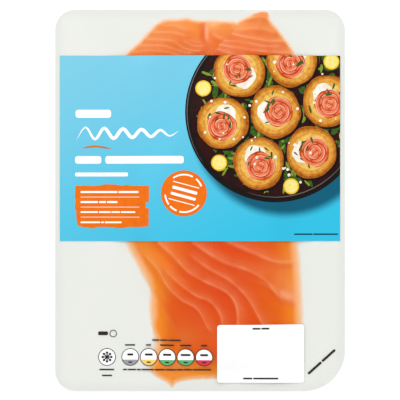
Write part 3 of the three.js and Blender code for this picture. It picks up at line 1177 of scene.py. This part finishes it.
def print_title():
    """The left of the label: plain bars in the place of words, a wave and an orange block."""
    white = ink_finish("white", PRINT_WHITE, (0.9, 0.92, 0.93), 1.5, 0.5)
    orange = ink_finish("orange", ink(240, 119, 32), ink(232, 108, 24), 0.4, 0.8)
    copper = ink_finish("copper", ink(214, 118, 46), ink(170, 120, 66), 0.2, 0.9)
    dark = ink_finish("teal", ink(14, 58, 74), ink(8, 44, 58))
    titles = [bar(-54.6, 36.1, -39.0, 39.6), wave()]
    titles += words(TITLE_LEFT, -7.1, 17.6, 3.3, (3, 9))
    titles += words(TITLE_LEFT, -31.6, 11.2, 1.7)
    swash = stroke([(-52.2, 22.7), (-46, 23.5), (-38.6, 22.4)], 0.9)
    printed("title", white, 0, titles)
    printed("swash", copper, 0, [swash])
    printed("orange", orange, 0, [brushed_block(), disc(*STAMP_CENTRE, STAMP_RADIUS)])
    printed("orange_rows", white, 1, block_rows() + stamp_rows())
    printed("caption", dark, 0, words(41.3, 60.6, -15.0, 0.6, (3, 4)))


# ---- the print on film and panel

MARK_RADIUS = 3.85
FACE_RADIUS = MARK_RADIUS - 0.32
MARK_MIDDLE = -68.9
FOOT_TOP = -70.05
FREEZER_X = -40.8

# Round marks from left to right: ink of the foot, centre, and half its word's length.
MARKS = [
    ("grey", -30.6, 1.3),
    ("yellow", -22.5, 1.7),
    ("green", -14.4, 1.8),
    ("green", -6.3, 2.1),
    ("rose", 1.8, 1.7),
]


def print_marks(dark):
    """Six rings with white faces, and five of them with a coloured foot."""
    white = ink_finish("mark_white", PRINT_WHITE, (0.9, 0.91, 0.91), 1.5, 0.5)
    centres = [FREEZER_X] + [x for _, x, _ in MARKS]
    for name, tone, level, radius in (
        ("ground", dark, 0, MARK_RADIUS),
        ("white", white, 1, FACE_RADIUS),
    ):
        discs = [disc(x, MARK_MIDDLE, radius) for x in centres]
        printed(f"mark_{name}", tone, level, discs, on="cover_film")
    for name, colour in (
        ("grey", ink(160, 161, 165)),
        ("yellow", ink(253, 212, 112)),
        ("green", ink(101, 182, 118)),
        ("rose", ink(235, 60, 90)),
    ):
        places = [x for tone, x, _ in MARKS if tone == name]
        feet = [segment(x, MARK_MIDDLE, FACE_RADIUS, FOOT_TOP) for x in places]
        foot_ink = ink_finish(f"mark_{name}", colour)
        printed(f"mark_{name}", foot_ink, 2, feet, on="cover_film")


def snowflake(x, y):
    """Four crossed arms with a knob near each end, and a hub."""
    arm = [bar(x - 2.4, y - 0.25, x + 2.4, y + 0.25)]
    arm += [disc(x + side, y, 0.55) for side in (-1.9, 1.9)]
    star = []
    for degrees in range(0, 180, 45):
        star += turned(arm, (x, y), degrees)
    return star + [disc(x, y, 0.8)]


def print_foot():
    """The small dark print: weight, freezer mark, what the marks say, and where to peel."""
    dark = ink_finish("dark", ink(52, 48, 46), ink(70, 66, 62))
    print_marks(dark)
    lines = words(-44.7, -40.4, -58.5, 1.6)
    lines += [arc(-38.1, -58.6, 1.45, 0.3, start, start + 180) for start in (0, 180)]
    lines += snowflake(FREEZER_X, MARK_MIDDLE)
    for _, x, half in MARKS:
        lines += words(x - half, x + half, MARK_MIDDLE + 1.1, 0.9)
        lines += words(x - 0.9, x + 0.9, FOOT_TOP - 1.1, 0.6)
    for left, right in ((-32.9, -28.5), (-23.7, -21.5), (-17.5, -11.4), (-8.7, -3.9), (0.5, 3.1)):
        lines += words(left, right, -63.6, 0.6)
    for left, right, middle, shares in (
        (-21.0, -8.3, -61.4, (4, 4, 7)),
        (-33.8, 4.9, -74.4, (2, 4, 2, 6, 5, 5, 3, 4, 9)),
        (-44.1, -37.7, -74.4, (1,)),
        (-43.0, -38.6, -77.0, (1,)),
    ):
        lines += words(left, right, middle, 0.6, shares)
    peel_x, peel_y = 53.4, -71.0
    peel = words(peel_x - 7.9, peel_x + 7.9, peel_y, 1.0, (1, 1))
    lines += turned(peel, (peel_x, peel_y), 42)
    printed("foot", dark, 3, lines, on="cover_film")
    dates = words(22.9, 30.3, -56.2, 0.75, (3, 3)) + words(18.9, 34.3, -78.3, 0.75, (4, 11))
    printed("date", dark, 0, dates, on="date_panel")


print_dish()
print_title()
print_foot()

# ---- studio


WINDOW_PLACE = (-0.15, 1.0, 1.0)
WINDOW_SIZE = (1.6, 1.2)
WINDOW_POWER = 8
SKY_STRENGTH = 0.97

# The camera's view is a little longer than the pack.
VIEW_SIDE = 175.6 * MM
LENS = 200
SENSOR_WIDTH = 36


def studio():
    """A white sheet under an even sky, with a wide soft lamp beyond the pack's top edge."""
    deselect()
    bpy.ops.mesh.primitive_plane_add(size=6)
    floor = named("studio_floor")
    paper = Finish("studio_paper", base_color=(0.93, 0.93, 0.93), roughness=0.9)
    floor.data.materials.append(paper.material)

    world = bpy.data.worlds.new("studio_world")
    bpy.context.scene.world = world
    world.use_nodes = True
    background = world.node_tree.nodes["Background"]
    background.inputs["Color"].default_value = (1, 1, 1, 1)
    background.inputs["Strength"].default_value = SKY_STRENGTH

    lamp_data = bpy.data.lights.new("soft_window", "AREA")
    lamp_data.shape = "RECTANGLE"
    lamp_data.size, lamp_data.size_y = WINDOW_SIZE
    lamp_data.energy = WINDOW_POWER
    lamp = bpy.data.objects.new("soft_window", lamp_data)
    bpy.context.collection.objects.link(lamp)
    lamp.location = WINDOW_PLACE
    lamp.rotation_euler = (-lamp.location).to_track_quat("-Z", "Y").to_euler()
    bpy.context.scene.view_settings.view_transform = "Standard"


def camera():
    """Straight above the pack."""
    data = bpy.data.cameras.new("overhead_camera")
    data.lens = LENS
    data.sensor_width = SENSOR_WIDTH
    data.clip_start = 0.05
    overhead = bpy.data.objects.new("overhead_camera", data)
    bpy.context.collection.objects.link(overhead)
    overhead.location = (0, 0, BOARD_TOP + VIEW_SIDE * LENS / SENSOR_WIDTH)
    bpy.context.scene.camera = overhead


studio()
camera()

bpy.context.view_layer.update()
